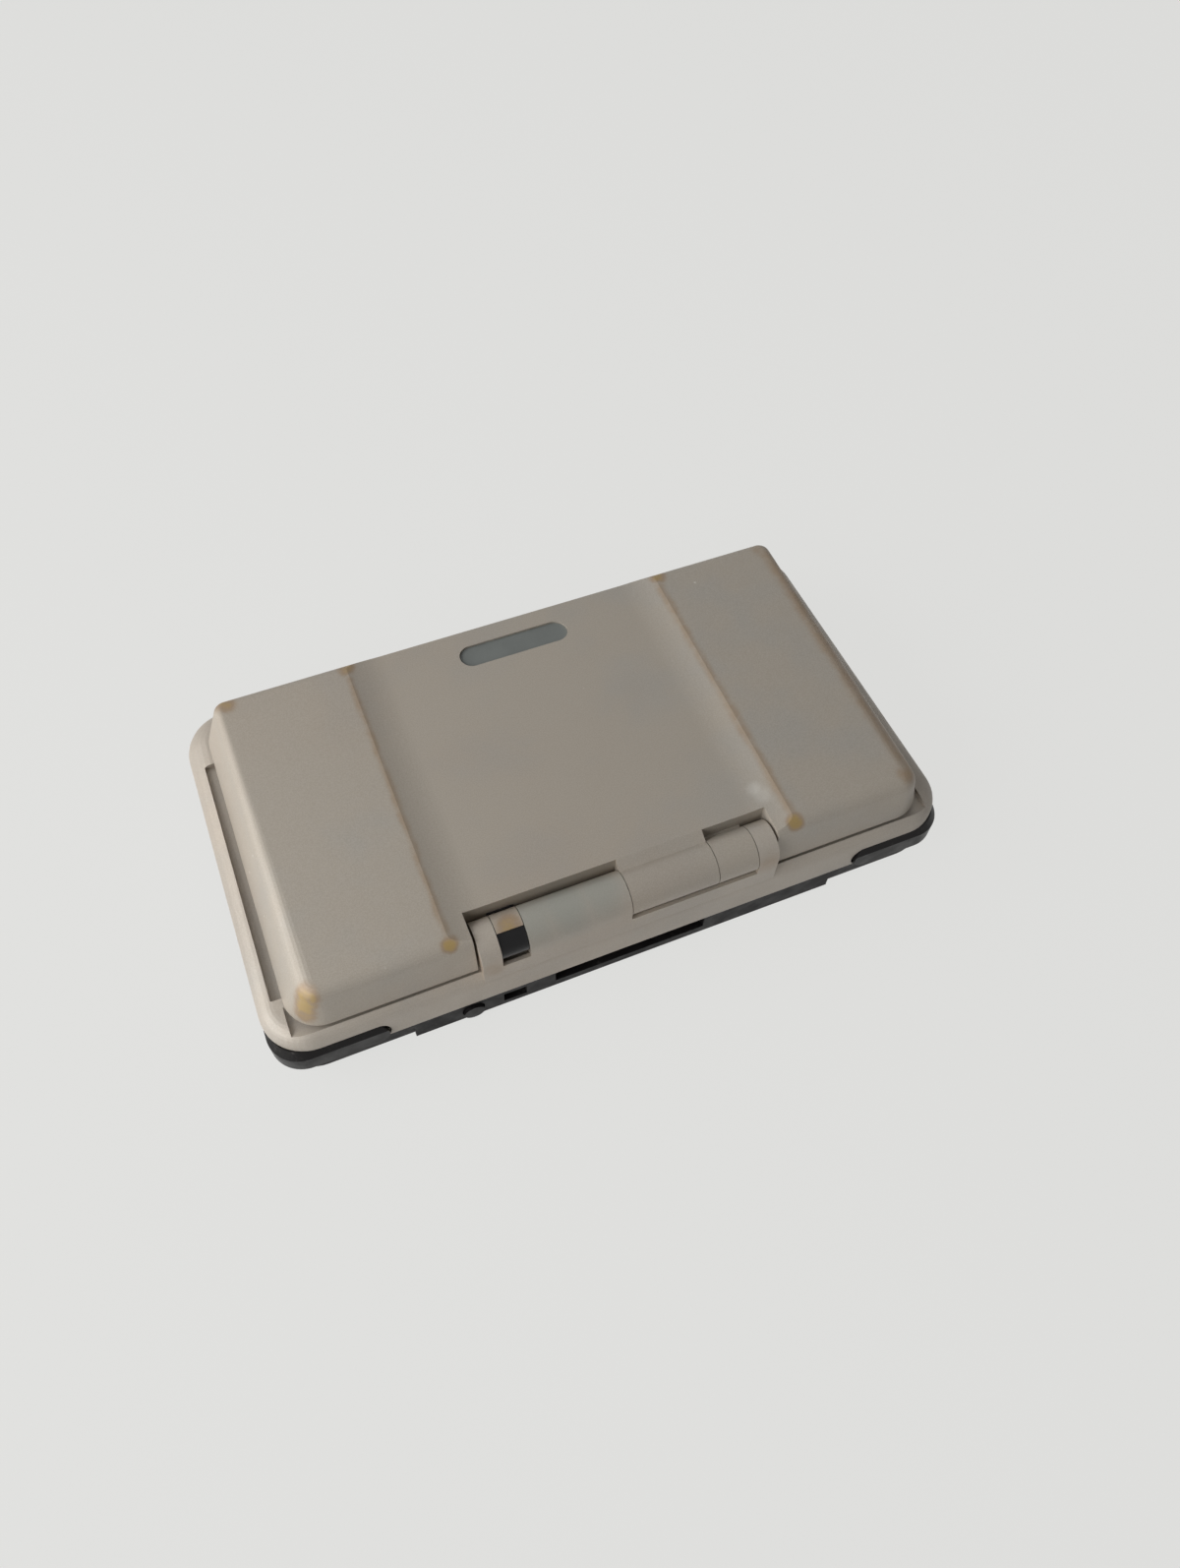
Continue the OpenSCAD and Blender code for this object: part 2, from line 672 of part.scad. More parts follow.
// Cross-shaped driver recess in a head whose outer face looks down.
module cross_recess(x, y, z, span) {
    box([x - span, y - 0.15, z - past], [x + span, y + 0.15, z + 0.3]);
    box([x - 0.15, y - span, z - past], [x + 0.15, y + span, z + 0.3]);
}

// ---- controls --------------------------------------------------------------------------------

module pad_cross(span, arm_w) {
    square([span, arm_w], center = true);
    square([arm_w, span], center = true);
}

module control_pad() {
    color(black)
    difference() {
        translate([-cluster_x, cluster_y, 0]) {
            translate([0, 0, flange_low]) linear_extrude(pad_top - flange_low)
                pad_cross(pad_span, pad_arm_w);
            translate([0, 0, flange_low]) cylinder(h = pad_flange_t, r = pad_span / 2 + 0.6);
        }
        translate([-cluster_x, cluster_y, pad_top + 4.5]) sphere(r = 5);
    }
}

module control_pad_mat() {
    color(rubber_grey)
        translate([-cluster_x, cluster_y, board_top + 0.4])
            cylinder(h = flange_low - board_top - 0.8, r = pad_span / 2 - 4);
}

// A round button at one of the four places of its cluster.
module round_button(turn, shade) {
    color(shade)
        translate([cluster_x, cluster_y, 0]) rotate([0, 0, turn]) translate([button_pitch, 0, 0]) {
            translate([0, 0, flange_low]) cylinder(h = button_top - flange_low - 0.4, r = button_d / 2);
            translate([0, 0, button_top - 0.4])
                cylinder(h = 0.4, r1 = button_d / 2, r2 = button_d / 2 - 0.4);
            translate([0, 0, flange_low]) cylinder(h = flange_t, r = button_d / 2 + 0.7);
        }
}

module button_a() { round_button(0, black); }
module button_x() { round_button(90, black); }
module button_y() { round_button(180, black); }
module button_b() { round_button(270, black); }

module face_button_mat() {
    color(rubber_grey)
    translate([cluster_x, cluster_y, board_top + 0.05]) {
        cylinder(h = mat_t, r = button_pitch + 4.4);
        for (turn = [0:90:270]) rotate([0, 0, turn]) translate([button_pitch, 0, 0])
            cylinder(h = mat_dome_top - board_top - 0.05, r = 2.6);
    }
}

// A small oblong button: start, select or power.
module small_button(x, shade) {
    color(shade)
    translate([x, small_button_y, 0]) {
        translate([0, 0, flange_low]) linear_extrude(button_top - 0.5 - flange_low)
            rounded_rect(small_button_l, small_button_w, small_button_w / 2 - 0.01);
        translate([0, 0, flange_low]) linear_extrude(flange_t)
            rounded_rect(small_button_l + 1.4, small_button_w + 1.4, small_button_w / 2 + 0.69);
    }
}

module start_button() { small_button(start_x, black); }
module select_button() { small_button(select_x, black); }
module power_button() { small_button(power_button_x, black); }

module small_button_mats() {
    color(rubber_grey)
    for (x = [start_x, select_x, power_button_x])
        translate([x, small_button_y, board_top + 0.05])
            cylinder(h = mat_dome_top - board_top - 0.05, r = 1.3);
}

// Right shoulder button: a bevelled shell round the corner, on a lug with a bore for its pivot.
module shoulder_button(shade) {
    color(shade)
    difference() {
        union() {
            intersection() {
                difference() {
                    hull() {
                        slab(body_w, body_d, shoulder_r, shoulder_low_z, shoulder_mid_z);
                        slab(body_w - 2.4, body_d - 2.4, shoulder_r - 1.2, shoulder_low_z,
                            shoulder_top_z);
                    }
                    slab(body_w - 2 * shoulder_t, body_d - 2 * shoulder_t, shoulder_r - shoulder_t,
                        shoulder_low_z - past, shoulder_top_z + past);
                }
                shoulder_outline();
            }
            translate([pivot_x, pivot_y, lug_low]) cylinder(h = lug_high - lug_low, r = pivot_r + 1.5);
            box([pivot_x - 1, pivot_y, lug_low], [pivot_x + 4, body_d / 2 - 1.5, lug_high]);
        }
        translate([pivot_x, pivot_y, lug_low - past])
            cylinder(h = lug_high - lug_low + 2 * past, r = pivot_r + run_clear);
    }
}

// Outline of the right shoulder button. Its back stretch has a round end, its side stretch a
// square one.
module shoulder_outline() {
    translate([shoulder_end_x + shoulder_end_r, body_d / 2 - 6, shoulder_low_z + shoulder_end_r])
        rotate([-90, 0, 0]) cylinder(h = 6 + past, r = shoulder_end_r);
    box([shoulder_end_x + shoulder_end_r, shoulder_end_y, shoulder_low_z],
        [body_w / 2 + past, body_d / 2 + past, shoulder_top_z]);
}

module shoulder_button_right() { shoulder_button(black); }
module shoulder_button_left() { mirror([1, 0, 0]) shoulder_button(black); }

module shoulder_pivots() {
    color(steel)
    for (side = [-1, 1])
        translate([side * pivot_x, pivot_y, floor_z + 0.9])
            cylinder(h = pivot_top - floor_z - 0.9, r = pivot_r);
}

module shoulder_springs() {
    color(steel)
    for (side = [-1, 1])
        translate([side * pivot_x, pivot_y, lug_high + 0.2]) difference() {
            cylinder(h = shoulder_top_z - lug_high - 0.3, r = 1.9);
            translate([0, 0, -past]) cylinder(h = 5, r = pivot_r + run_clear);
        }
}

module shoulder_switches() {
    color(grey)
    for (side = [-1, 1]) mirror([side < 0 ? 1 : 0, 0, 0])
        switch_block(shoulder_low_z - 0.35, shoulder_low_z + 4);
}

module volume_slider() {
    color(black)
    union() {
        box([slider_x - slider_l / 2, base_front_y, slider_z - slider_h / 2],
            [slider_x + slider_l / 2, skirt_front_y + base_wall + 0.6, slider_z + slider_h / 2]);
        box([slider_x - slider_l / 2 - 1, skirt_front_y + base_wall + 0.1, slider_z - slider_h / 2 - 0.6],
            [slider_x + slider_l / 2 + 1, skirt_front_y + base_wall + 0.9, slider_z + slider_h / 2 + 0.6]);
    }
}

module volume_slider_body() {
    color(steel)
        box([slider_x - slider_l, skirt_front_y + base_wall + 1.1, slider_z - 2.2],
            [slider_x + slider_l, skirt_front_y + base_wall + 3.6, board_z - 0.05]);
}

// ---- sockets ---------------------------------------------------------------------------------

module headphone_socket() {
    color(black)
    translate([jack_x, skirt_front_y, jack_z]) rotate([-90, 0, 0]) difference() {
        cylinder(h = jack_depth + 1.2, r = jack_body_r);
        translate([0, 0, -past]) cylinder(h = jack_depth + past, r = jack_r);
    }
}

module power_inlet() {
    color(grey)
    difference() {
        box([power_x - power_w / 2 - 0.4, skirt_rear_y - base_wall - power_depth, power_z - 0.4],
            [power_x + power_w / 2 + 0.4, skirt_rear_y - base_wall, power_z + power_h + 0.1]);
        box([power_x - power_w / 2, skirt_rear_y - base_wall - power_depth + 1, power_z],
            [power_x + power_w / 2, skirt_rear_y, power_z + power_h - 0.2]);
        for (side = [-1, 1])
            translate([power_x + side * 1.2, skirt_rear_y - base_wall - power_depth, power_z + power_h / 2])
                box([-0.3, 0.4, 0], [0.3, 2, 0.4]);
    }
}

module card_connector() {
    color(grey)
    difference() {
        box([-card_w / 2 - 0.4, skirt_rear_y - card_d - 4, card_z - 0.8],
            [card_w / 2 + 0.4, skirt_rear_y - card_d - 0.05, board_z - 0.05]);
        for (pin = [-8:8])
            box([pin * 1.6 - 0.35, skirt_rear_y - card_d - 3, card_z + 0.5],
                [pin * 1.6 + 0.35, skirt_rear_y - card_d + past, card_z + 1.4]);
    }
}

module cartridge_connector() {
    color(grey)
    difference() {
        box([-cartridge_w / 2 - 0.4, skirt_front_y + cartridge_d + 0.05, cartridge_z + 0.05],
            [cartridge_w / 2 + 0.4, skirt_front_y + cartridge_d + 6, cartridge_z + cartridge_h - 0.1]);
        for (pin = [-8:8])
            box([pin * 3 - 0.6, skirt_front_y + cartridge_d - past, cartridge_z + 2.4],
                [pin * 3 + 0.6, skirt_front_y + cartridge_d + 3, cartridge_z + 3.4]);
    }
}

module stylus() {
    color(black)
    union() {
        translate([stylus_x, stylus_rear_y - stylus_l + 6, stylus_z]) rotate([-90, 0, 0])
            cylinder(h = stylus_l - 6, r = stylus_d / 2);
        translate([stylus_x, stylus_rear_y - stylus_l, stylus_z]) rotate([-90, 0, 0])
            cylinder(h = 6, r1 = 0.7, r2 = stylus_d / 2);
    }
}

module microphone() {
    color(steel)
        translate([mic_x, mic_y, face_under_z - 2.1]) cylinder(h = 2, r = 2);
}

module led_light_pipes() {
    color(grey)
    for (step = [0, 1])
        translate([led_x + step * led_gap, led_y, board_top + 0.6]) {
            cylinder(h = face_z - board_top - 0.6, r = 0.95);
            cylinder(h = 1, r = 1.6);
        }
}

module rubber_feet() {
    color(rubber_grey)
    for (sx = [-1, 1], sy = [-1, 1])
        translate([sx * foot_x, battery_cy + sy * (cover_d / 2 + foot_d / 2 + 0.6), 0])
            cylinder(h = foot_h, r = foot_d / 2);
}

module base_screws() {
    color(steel)
    at_sites(screw_sites, foot_h + 2.4 - head_t) difference() {
        union() {
            cylinder(h = head_t, r = screw_head_r);
            cylinder(h = screw_l, r = screw_r);
        }
        cross_recess(0, 0, 0, 1.1);
    }
}

// ---- lid -------------------------------------------------------------------------------------

// Space of the hinge notch in the lid, wider by the given margin.
module notch(margin) {
    box([-notch_half - margin, notch_y - margin, lid_bottom - past],
        [notch_half + margin, lid_rear_y + past, body_h + past]);
}

// Hollow of the lid, smaller by the given margin on every side. Its sides lean with the lid's.
module lid_hollow(margin, low, high) {
    difference() {
        hull() {
            lid_slice(margin, low);
            lid_slice(margin, high - 0.01);
        }
        notch(lid_wall + margin);
    }
}

// Thin slice of that hollow at one height.
module lid_slice(margin, z) {
    inset = lid_wall + margin + lid_lean * (z - lid_bottom) / lid_h;
    slab(lid_w - 2 * inset, lid_d - 2 * inset, max(0.5, lid_corner_r - inset), z, z + 0.01, lid_cy);
}

// Cut that lowers the middle panel, with a slope beside each ridge that eases into the flat.
module panel_cut() {
    steps = 10;
    slope = [for (i = [0:steps])
        [ridge_gap / 2 - ridge_slope * i / steps, body_h - panel_drop * (1 - pow(1 - i / steps, 2))]];
    translate([0, lid_rear_y + past, 0]) rotate([90, 0, 0]) linear_extrude(lid_d + 2 * past)
        polygon(concat(
            [[ridge_gap / 2, body_h + past]], slope,
            [for (i = [steps:-1:0]) [-slope[i][0], slope[i][1]]],
            [[-ridge_gap / 2, body_h + past]]
        ));
}

module badge_outline(grow) {
    rounded_rect(badge_l + 2 * grow, badge_w + 2 * grow, badge_w / 2 + grow - 0.01);
}

// Arm that ties a turning barrel to the lid's notch wall.
module barrel_arm(from, to) {
    box([from, notch_y, hinge_z - 2.3], [to, hinge_y - 2.5, hinge_z + (barrel_r - 0.4) * cos(68)]);
}

// Outer block of the lid. Its back is steeper than its front and sides, with a softer top edge.
module lid_block() {
    shear = (lid_lean - lid_rear_lean) / lid_h;
    hull()
        for (side = [-1, 1]) {
            translate([side * (lid_w / 2 - lid_corner_r), lid_front_y + lid_corner_r, lid_bottom])
                leaning_post(lid_corner_r, lid_h, lid_lean, lid_edge_r);
            translate([side * (lid_w / 2 - lid_rear_corner_r - rear_post_in),
                lid_rear_y - lid_rear_corner_r, lid_bottom])
                multmatrix([[1, 0, 0, 0], [0, 1, shear, 0], [0, 0, 1, 0], [0, 0, 0, 1]])
                    leaning_post(lid_rear_corner_r, lid_h, lid_lean, lid_rear_edge_r);
        }
}

module lid_outer_cover() {
    color(silver)
    difference() {
        union() {
            difference() {
                lid_block();
                panel_cut();
                lid_hollow(0, lid_bottom - past, lid_inner_z);
                notch(0);
                translate([0, lid_front_y + badge_inset, panel_z - badge_drop])
                    linear_extrude(badge_drop + past) badge_outline(0);
            }
            hinge_bar(detent_x + barrel_gap / 2, lid_barrel_x - barrel_gap / 2, barrel_r);
            along_x(detent_x + barrel_gap / 2, lid_barrel_x - barrel_gap / 2)
                polygon([
                    [notch_y - 0.6, panel_z], [notch_y, panel_z],
                    [hinge_y - barrel_r * sin(35), hinge_z + barrel_r * cos(35)],
                    [hinge_y - 2.5, hinge_z - 2.3], [notch_y - 0.6, hinge_z - 2.3]
                ]);
            at_sites(lid_screw_sites, frame_top + 0.1)
                cylinder(h = lid_inner_z - frame_top + 0.3, r = boss_r);
        }
        at_sites(lid_screw_sites, frame_z) cylinder(h = lid_screw_l + 0.2, r = screw_r + held_air);
        hinge_bar(detent_x - past, detent_x + 6, pin_r + run_clear);
        hinge_bar(detent_x + 7.5, lid_barrel_x + past, ribbon_bore_r);
        // passage of the ribbon from the barrel into the lid
        box([lid_barrel_x - 10, notch_y - lid_wall - past, hinge_z - 1],
            [lid_barrel_x - 2, hinge_y, hinge_z + 1]);
    }
}

module badge_inlay() {
    color(grey)
        translate([0, lid_front_y + badge_inset, panel_z - badge_drop]) linear_extrude(0.3)
            badge_outline(-0.05);
}

module lid_inner_frame() {
    color(silver)
    difference() {
        lid_hollow(fit_air, frame_z, frame_top);
        translate([0, lid_screen_cy, 0]) slab(view_w, view_d, 1, frame_z - past, body_h);
        slab(glass_w + 2 * fit_air, glass_d + 2 * fit_air, 1, frame_z - past, frame_z + glass_t - 0.4,
            lid_screen_cy);
        at_sites(lid_screw_sites, frame_z - past) cylinder(h = 4, r = screw_r + held_air);
        at_sites(lid_screw_sites, frame_z - past) cylinder(h = past + 0.6, r = 2.6);
        // sound holes
        for (side = [-1, 1], row = [-2:2], column = [-1:1])
            translate([side * speaker_x + column * 3, speaker_y + row * 3, frame_z - past])
                cylinder(h = 4, r = 0.75);
    }
}

module display_window() {
    color(dark_glass)
        slab(glass_w, glass_d, 1, frame_z, frame_z + glass_t - 0.45, lid_screen_cy);
}

module upper_display() {
    color(steel)
        slab(display_w, display_d, 1, frame_top + 0.05, frame_top + 0.05 + display_t, lid_screen_cy);
}

module speakers() {
    color(grey)
    for (side = [-1, 1])
        translate([side * speaker_x, speaker_y, frame_top + 0.05]) cylinder(h = speaker_t, r = speaker_r);
}

module lid_bumpers() {
    color(rubber_grey)
        at_sites(lid_screw_sites, frame_z - 0.25) cylinder(h = 0.5, r = 2.5);
}

module lid_screws() {
    color(steel)
        at_sites(lid_screw_sites, frame_z + 0.3) difference() {
            union() {
                cylinder(h = 0.3, r = screw_head_r);
                cylinder(h = lid_screw_l - 0.5, r = screw_r);
            }
            cross_recess(0, 0, -0.2, 1);
        }
}

// ---- hinge -----------------------------------------------------------------------------------

module hinge_drum() {
    color(black)
    difference() {
        union() {
            hinge_bar(base_barrel_x + barrel_gap / 2, drum_x - barrel_gap / 2, barrel_r - 0.42);
            barrel_arm(base_barrel_x + barrel_gap / 2, drum_x - barrel_gap / 2);
        }
        hinge_bar(base_barrel_x - past, drum_x + past, pin_r + run_clear);
    }
}

// Silver cap over the front and top of the drum, as a third of a ring.
module hinge_drum_cap() {
    color(silver)
    intersection() {
        difference() {
            hinge_bar(base_barrel_x + barrel_gap / 2, drum_x - barrel_gap / 2, barrel_r);
            hinge_bar(base_barrel_x - past, drum_x + past, barrel_r - 0.4);
        }
        along_x(base_barrel_x, drum_x)
            polygon([
                [hinge_y, hinge_z], [hinge_y - 6 * sin(66), hinge_z + 6 * cos(66)],
                [hinge_y - 8, hinge_z + 8], [hinge_y, hinge_z + 9],
                [hinge_y + 6 * sin(16), hinge_z + 6 * cos(16)]
            ]);
    }
}

module hinge_barrel() {
    color(silver)
    difference() {
        union() {
            hinge_bar(knuckle_left_x + barrel_gap / 2, detent_x - barrel_gap / 2, barrel_r);
            barrel_arm(knuckle_left_x + barrel_gap / 2, detent_x - barrel_gap / 2);
        }
        hinge_bar(knuckle_left_x - past, detent_x + past, pin_r + run_clear);
        hinge_bar(knuckle_left_x - past, detent_x - 1.6, 3.2);
    }
}

module ring_on_pin(from, to, r) {
    difference() {
        hinge_bar(from, to, r);
        hinge_bar(from - past, to + past, pin_r + run_clear);
    }
}

module hinge_spring() {
    color(steel) ring_on_pin(knuckle_left_x + 3.4, detent_x - 1.65, 2.6);
}

module hinge_cam() {
    color(grey) ring_on_pin(knuckle_left_x + barrel_gap / 2, knuckle_left_x + 3.35, 3.1);
}

module hinge_pin_right() {
    color(steel) hinge_bar(base_barrel_x - pin_hold_l + 0.05, hinge_half - 0.85, pin_r);
}

module hinge_pin_left() {
    color(steel) hinge_bar(-hinge_half + 0.85, detent_x + 5.9, pin_r);
}

// Rolled end of the display ribbon in the long barrel, and its tail down into the base.
module base_ribbon() {
    color("#8a5a2b")
    union() {
        hinge_bar(lid_barrel_x + 0.2, lid_barrel_x + 15, ribbon_bore_r - 0.3);
        box([lid_barrel_x + 8.5, hinge_y - 0.3, board_top + 0.1],
            [lid_barrel_x + 15.5, hinge_y + 0.3, hinge_z]);
    }
}

// Rolled end of the display ribbon in the lid's barrel, and its tail into the lid.
module lid_ribbon() {
    color("#8a5a2b")
    union() {
        hinge_bar(lid_barrel_x - 10, lid_barrel_x - 0.2, ribbon_bore_r - 0.3);
        box([lid_barrel_x - 9.5, notch_y - lid_wall - 2, hinge_z - 0.3],
            [lid_barrel_x - 2.5, hinge_y, hinge_z + 0.3]);
    }
}

base_upper_casing();
base_lower_casing();
touch_panel();
lower_display();
mainboard();
wireless_board();
battery();
battery_cover();
battery_cover_screw();
control_pad();
control_pad_mat();
button_a();
button_b();
button_x();
button_y();
face_button_mat();
start_button();
select_button();
power_button();
small_button_mats();
shoulder_button_right();
shoulder_button_left();
shoulder_pivots();
shoulder_springs();
shoulder_switches();
volume_slider();
volume_slider_body();
headphone_socket();
power_inlet();
card_connector();
cartridge_connector();
stylus();
microphone();
led_light_pipes();
rubber_feet();
base_screws();
lid_outer_cover();
badge_inlay();
lid_inner_frame();
upper_display();
display_window();
speakers();
lid_bumpers();
lid_screws();
hinge_drum();
hinge_drum_cap();
hinge_barrel();
hinge_spring();
hinge_cam();
hinge_pin_right();
hinge_pin_left();
base_ribbon();
lid_ribbon();
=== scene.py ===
"""Looks of a closed clamshell handheld game console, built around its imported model. Metres."""

import math

import bpy
from mathutils import Matrix, Vector

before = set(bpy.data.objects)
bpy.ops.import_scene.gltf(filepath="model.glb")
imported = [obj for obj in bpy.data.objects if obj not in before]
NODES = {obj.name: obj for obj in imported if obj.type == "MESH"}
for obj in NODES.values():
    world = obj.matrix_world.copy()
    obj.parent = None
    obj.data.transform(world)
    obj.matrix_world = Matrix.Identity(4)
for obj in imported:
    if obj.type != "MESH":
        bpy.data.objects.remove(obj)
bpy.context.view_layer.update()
MM = 0.001


# ---- camera ---------------------------------------------------------------------------------

def make_camera():
    """Camera of the photograph: place, three axes, focal length and principal point."""
    frame_w, frame_h = 1200, 1594
    focal_px = 1198.36
    principal = (599.17, 797.0)
    sensor_mm = 36
    place = Vector((52.177, 132.321, 230.128)) * MM
    right = Vector((-0.924992, 0.379303, 0.022781))
    down = Vector((0.307784, 0.783043, -0.540474))
    forward = Vector((-0.222842, -0.492923, -0.841052))
    data = bpy.data.cameras.new("camera")
    data.sensor_fit = "AUTO"
    data.sensor_width = sensor_mm
    data.lens = focal_px / frame_h * sensor_mm
    data.shift_x = (frame_w / 2 - principal[0]) / frame_h
    data.shift_y = (principal[1] - frame_h / 2) / frame_h
    data.clip_start = 0.01
    data.clip_end = 20
    camera = bpy.data.objects.new("camera", data)
    bpy.context.scene.collection.objects.link(camera)
    turn = Matrix((right, -down, -forward)).transposed().to_4x4()
    camera.matrix_world = Matrix.Translation(place) @ turn
    bpy.context.scene.camera = camera


# ---- colours --------------------------------------------------------------------------------

def srgb(r, g, b):
    """Linear colour of an 8-bit screen colour."""
    def channel(v):
        v /= 255
        return v / 12.92 if v <= 0.04045 else ((v + 0.055) / 1.055) ** 2.4
    return (channel(r), channel(g), channel(b), 1)


def grey(v):
    return (v, v, v, 1)


def scaled(color, factor):
    return tuple(min(1, c * factor) for c in color[:3]) + (1,)


SILVER = srgb(181, 171, 157)
SILVER_LIGHT = srgb(190, 180, 167)
SILVER_COOL = srgb(168, 167, 163)
SILVER_WARM = srgb(178, 159, 138)
OCHRE = srgb(190, 160, 92)
TAN = srgb(160, 128, 92)
# Cool grey of a painted reflection on the top of the hinge barrel, not a colour of the paint.
COOL_REFLECTION_GREY = srgb(152, 160, 154)
BACKDROP = srgb(228, 228, 226)
FLAKE = (0.82, 0.79, 0.74, 1)
SCUFF = (0.80, 0.78, 0.72, 1)
SPECK = (0.85, 0.83, 0.78, 1)
BLACK = (0.006, 0.005, 0.0055, 1)
RUBBED_BLACK = (0.12, 0.11, 0.105, 1)
FADED_BLACK = (0.018, 0.016, 0.015, 1)


# ---- material graphs ------------------------------------------------------------------------

class Graph:
    """Short calls that add and join the nodes of one node tree."""

    def __init__(self, tree):
        self.tree = tree

    def add(self, kind, settings=None, **inputs):
        node = self.tree.nodes.new(kind)
        for key, value in (settings or {}).items():
            setattr(node, key, value)
        for key, value in inputs.items():
            self.put(node.inputs[key.replace("_", " ")], value)
        return node

    def put(self, socket, value):
        if isinstance(value, bpy.types.NodeSocket):
            self.tree.links.new(value, socket)
        else:
            socket.default_value = value

    def math(self, operation, a, b=0.0, clamp=False):
        node = self.add("ShaderNodeMath", {"operation": operation, "use_clamp": clamp})
        self.put(node.inputs[0], a)
        self.put(node.inputs[1], b)
        return node.outputs[0]

    def largest(self, values):
        total = values[0]
        for value in values[1:]:
            total = self.math("MAXIMUM", total, value)
        return total

    def shows_backdrop(self):
        """1 for rays from the camera, mirrored or through glass, and 0 for the rest."""
        paths = self.add("ShaderNodeLightPath").outputs
        return self.largest([paths["Is Camera Ray"], paths["Is Glossy Ray"],
                             paths["Is Transmission Ray"]])

    def mix_shader(self, factor, a, b):
        node = self.add("ShaderNodeMixShader")
        for socket, value in zip(node.inputs, (factor, a, b)):
            self.put(socket, value)
        return node.outputs[0]


class Material(Graph):
    """Node tree of a new material, with its shader and its object coordinates."""

    def __init__(self, name):
        self.material = bpy.data.materials.new(name)
        self.material.use_nodes = True
        super().__init__(self.material.node_tree)
        self.shader = self.tree.nodes["Principled BSDF"]
        self.place = self.add("ShaderNodeTexCoord").outputs["Object"]

    def vector(self, operation, a, b=(0, 0, 0), scale=1.0):
        node = self.add("ShaderNodeVectorMath", {"operation": operation})
        self.put(node.inputs[0], a)
        self.put(node.inputs[1], b)
        node.inputs[3].default_value = scale
        return node.outputs["Value" if operation == "DISTANCE" else "Vector"]

    def noise(self, size_mm, detail=2.0, rough=0.5, stretch=None):
        """Noise from 0 to 1 whose blobs are about the given size in millimetres."""
        place = self.vector("MULTIPLY", self.place, stretch) if stretch else self.place
        node = self.add("ShaderNodeTexNoise", Vector=place, Scale=1 / (size_mm * MM), Detail=detail,
                        Roughness=rough)
        return node.outputs["Fac"]

    def ragged_place(self, scale=260, reach=0.0016):
        """Object coordinates shaken by noise, which frays the edge of a mark."""
        shake = self.add("ShaderNodeTexNoise", Vector=self.place, Scale=scale, Detail=3)
        shake = self.vector("SUBTRACT", shake.outputs["Color"], (0.5, 0.5, 0.5))
        return self.vector("ADD", self.place, self.vector("SCALE", shake, scale=reach))

    def span(self, value, low, high, out_low=0.0, out_high=1.0):
        """Smooth step of a value from one range to another."""
        node = self.add("ShaderNodeMapRange", {"clamp": True, "interpolation_type": "SMOOTHSTEP"})
        for key, v in (("Value", value), ("From Min", low), ("From Max", high),
                       ("To Min", out_low), ("To Max", out_high)):
            self.put(node.inputs[key], v)
        return node.outputs["Result"]

    def mix(self, factor, a, b):
        node = self.add("ShaderNodeMix", {"data_type": "RGBA"})
        self.put(node.inputs[0], factor)
        self.put(node.inputs[6], a)
        self.put(node.inputs[7], b)
        return node.outputs[2]

    def bump(self, height, distance_mm, strength=1.0, normal=None):
        node = self.add("ShaderNodeBump", Height=height, Distance=distance_mm * MM, Strength=strength)
        if normal:
            self.put(node.inputs["Normal"], normal)
        return node.outputs["Normal"]

    def finish(self, **inputs):
        for key, value in inputs.items():
            self.put(self.shader.inputs[key.replace("_", " ")], value)
        return self.material


def spots(graph, place, sites):
    """Soft round patches: each site is (x, y, z, radius, strength), in millimetres."""
    full_inside = 0.25
    marks = []
    for x, y, z, radius, strength in sites:
        distance = graph.vector("DISTANCE", place, (x * MM, y * MM, z * MM))
        marks.append(graph.span(distance, radius * MM, radius * full_inside * MM, 0.0, strength))
    return graph.largest(marks)


def lines_along_y(graph, place, lines):
    """Soft stripes: each line is (x, low y, high y, half width, strength), in millimetres."""
    fade = 2
    axes = graph.add("ShaderNodeSeparateXYZ", Vector=place).outputs
    marks = []
    for x, low_y, high_y, half_width, strength in lines:
        across = graph.math("ABSOLUTE", graph.math("SUBTRACT", axes["X"], x * MM))
        stripe = graph.span(across, half_width * MM, 0.0, 0.0, strength)
        start = graph.span(axes["Y"], (low_y - fade) * MM, (low_y + fade) * MM)
        end = graph.span(axes["Y"], (high_y + fade) * MM, (high_y - fade) * MM)
        marks.append(graph.math("MULTIPLY", stripe, graph.math("MULTIPLY", start, end)))
    return marks


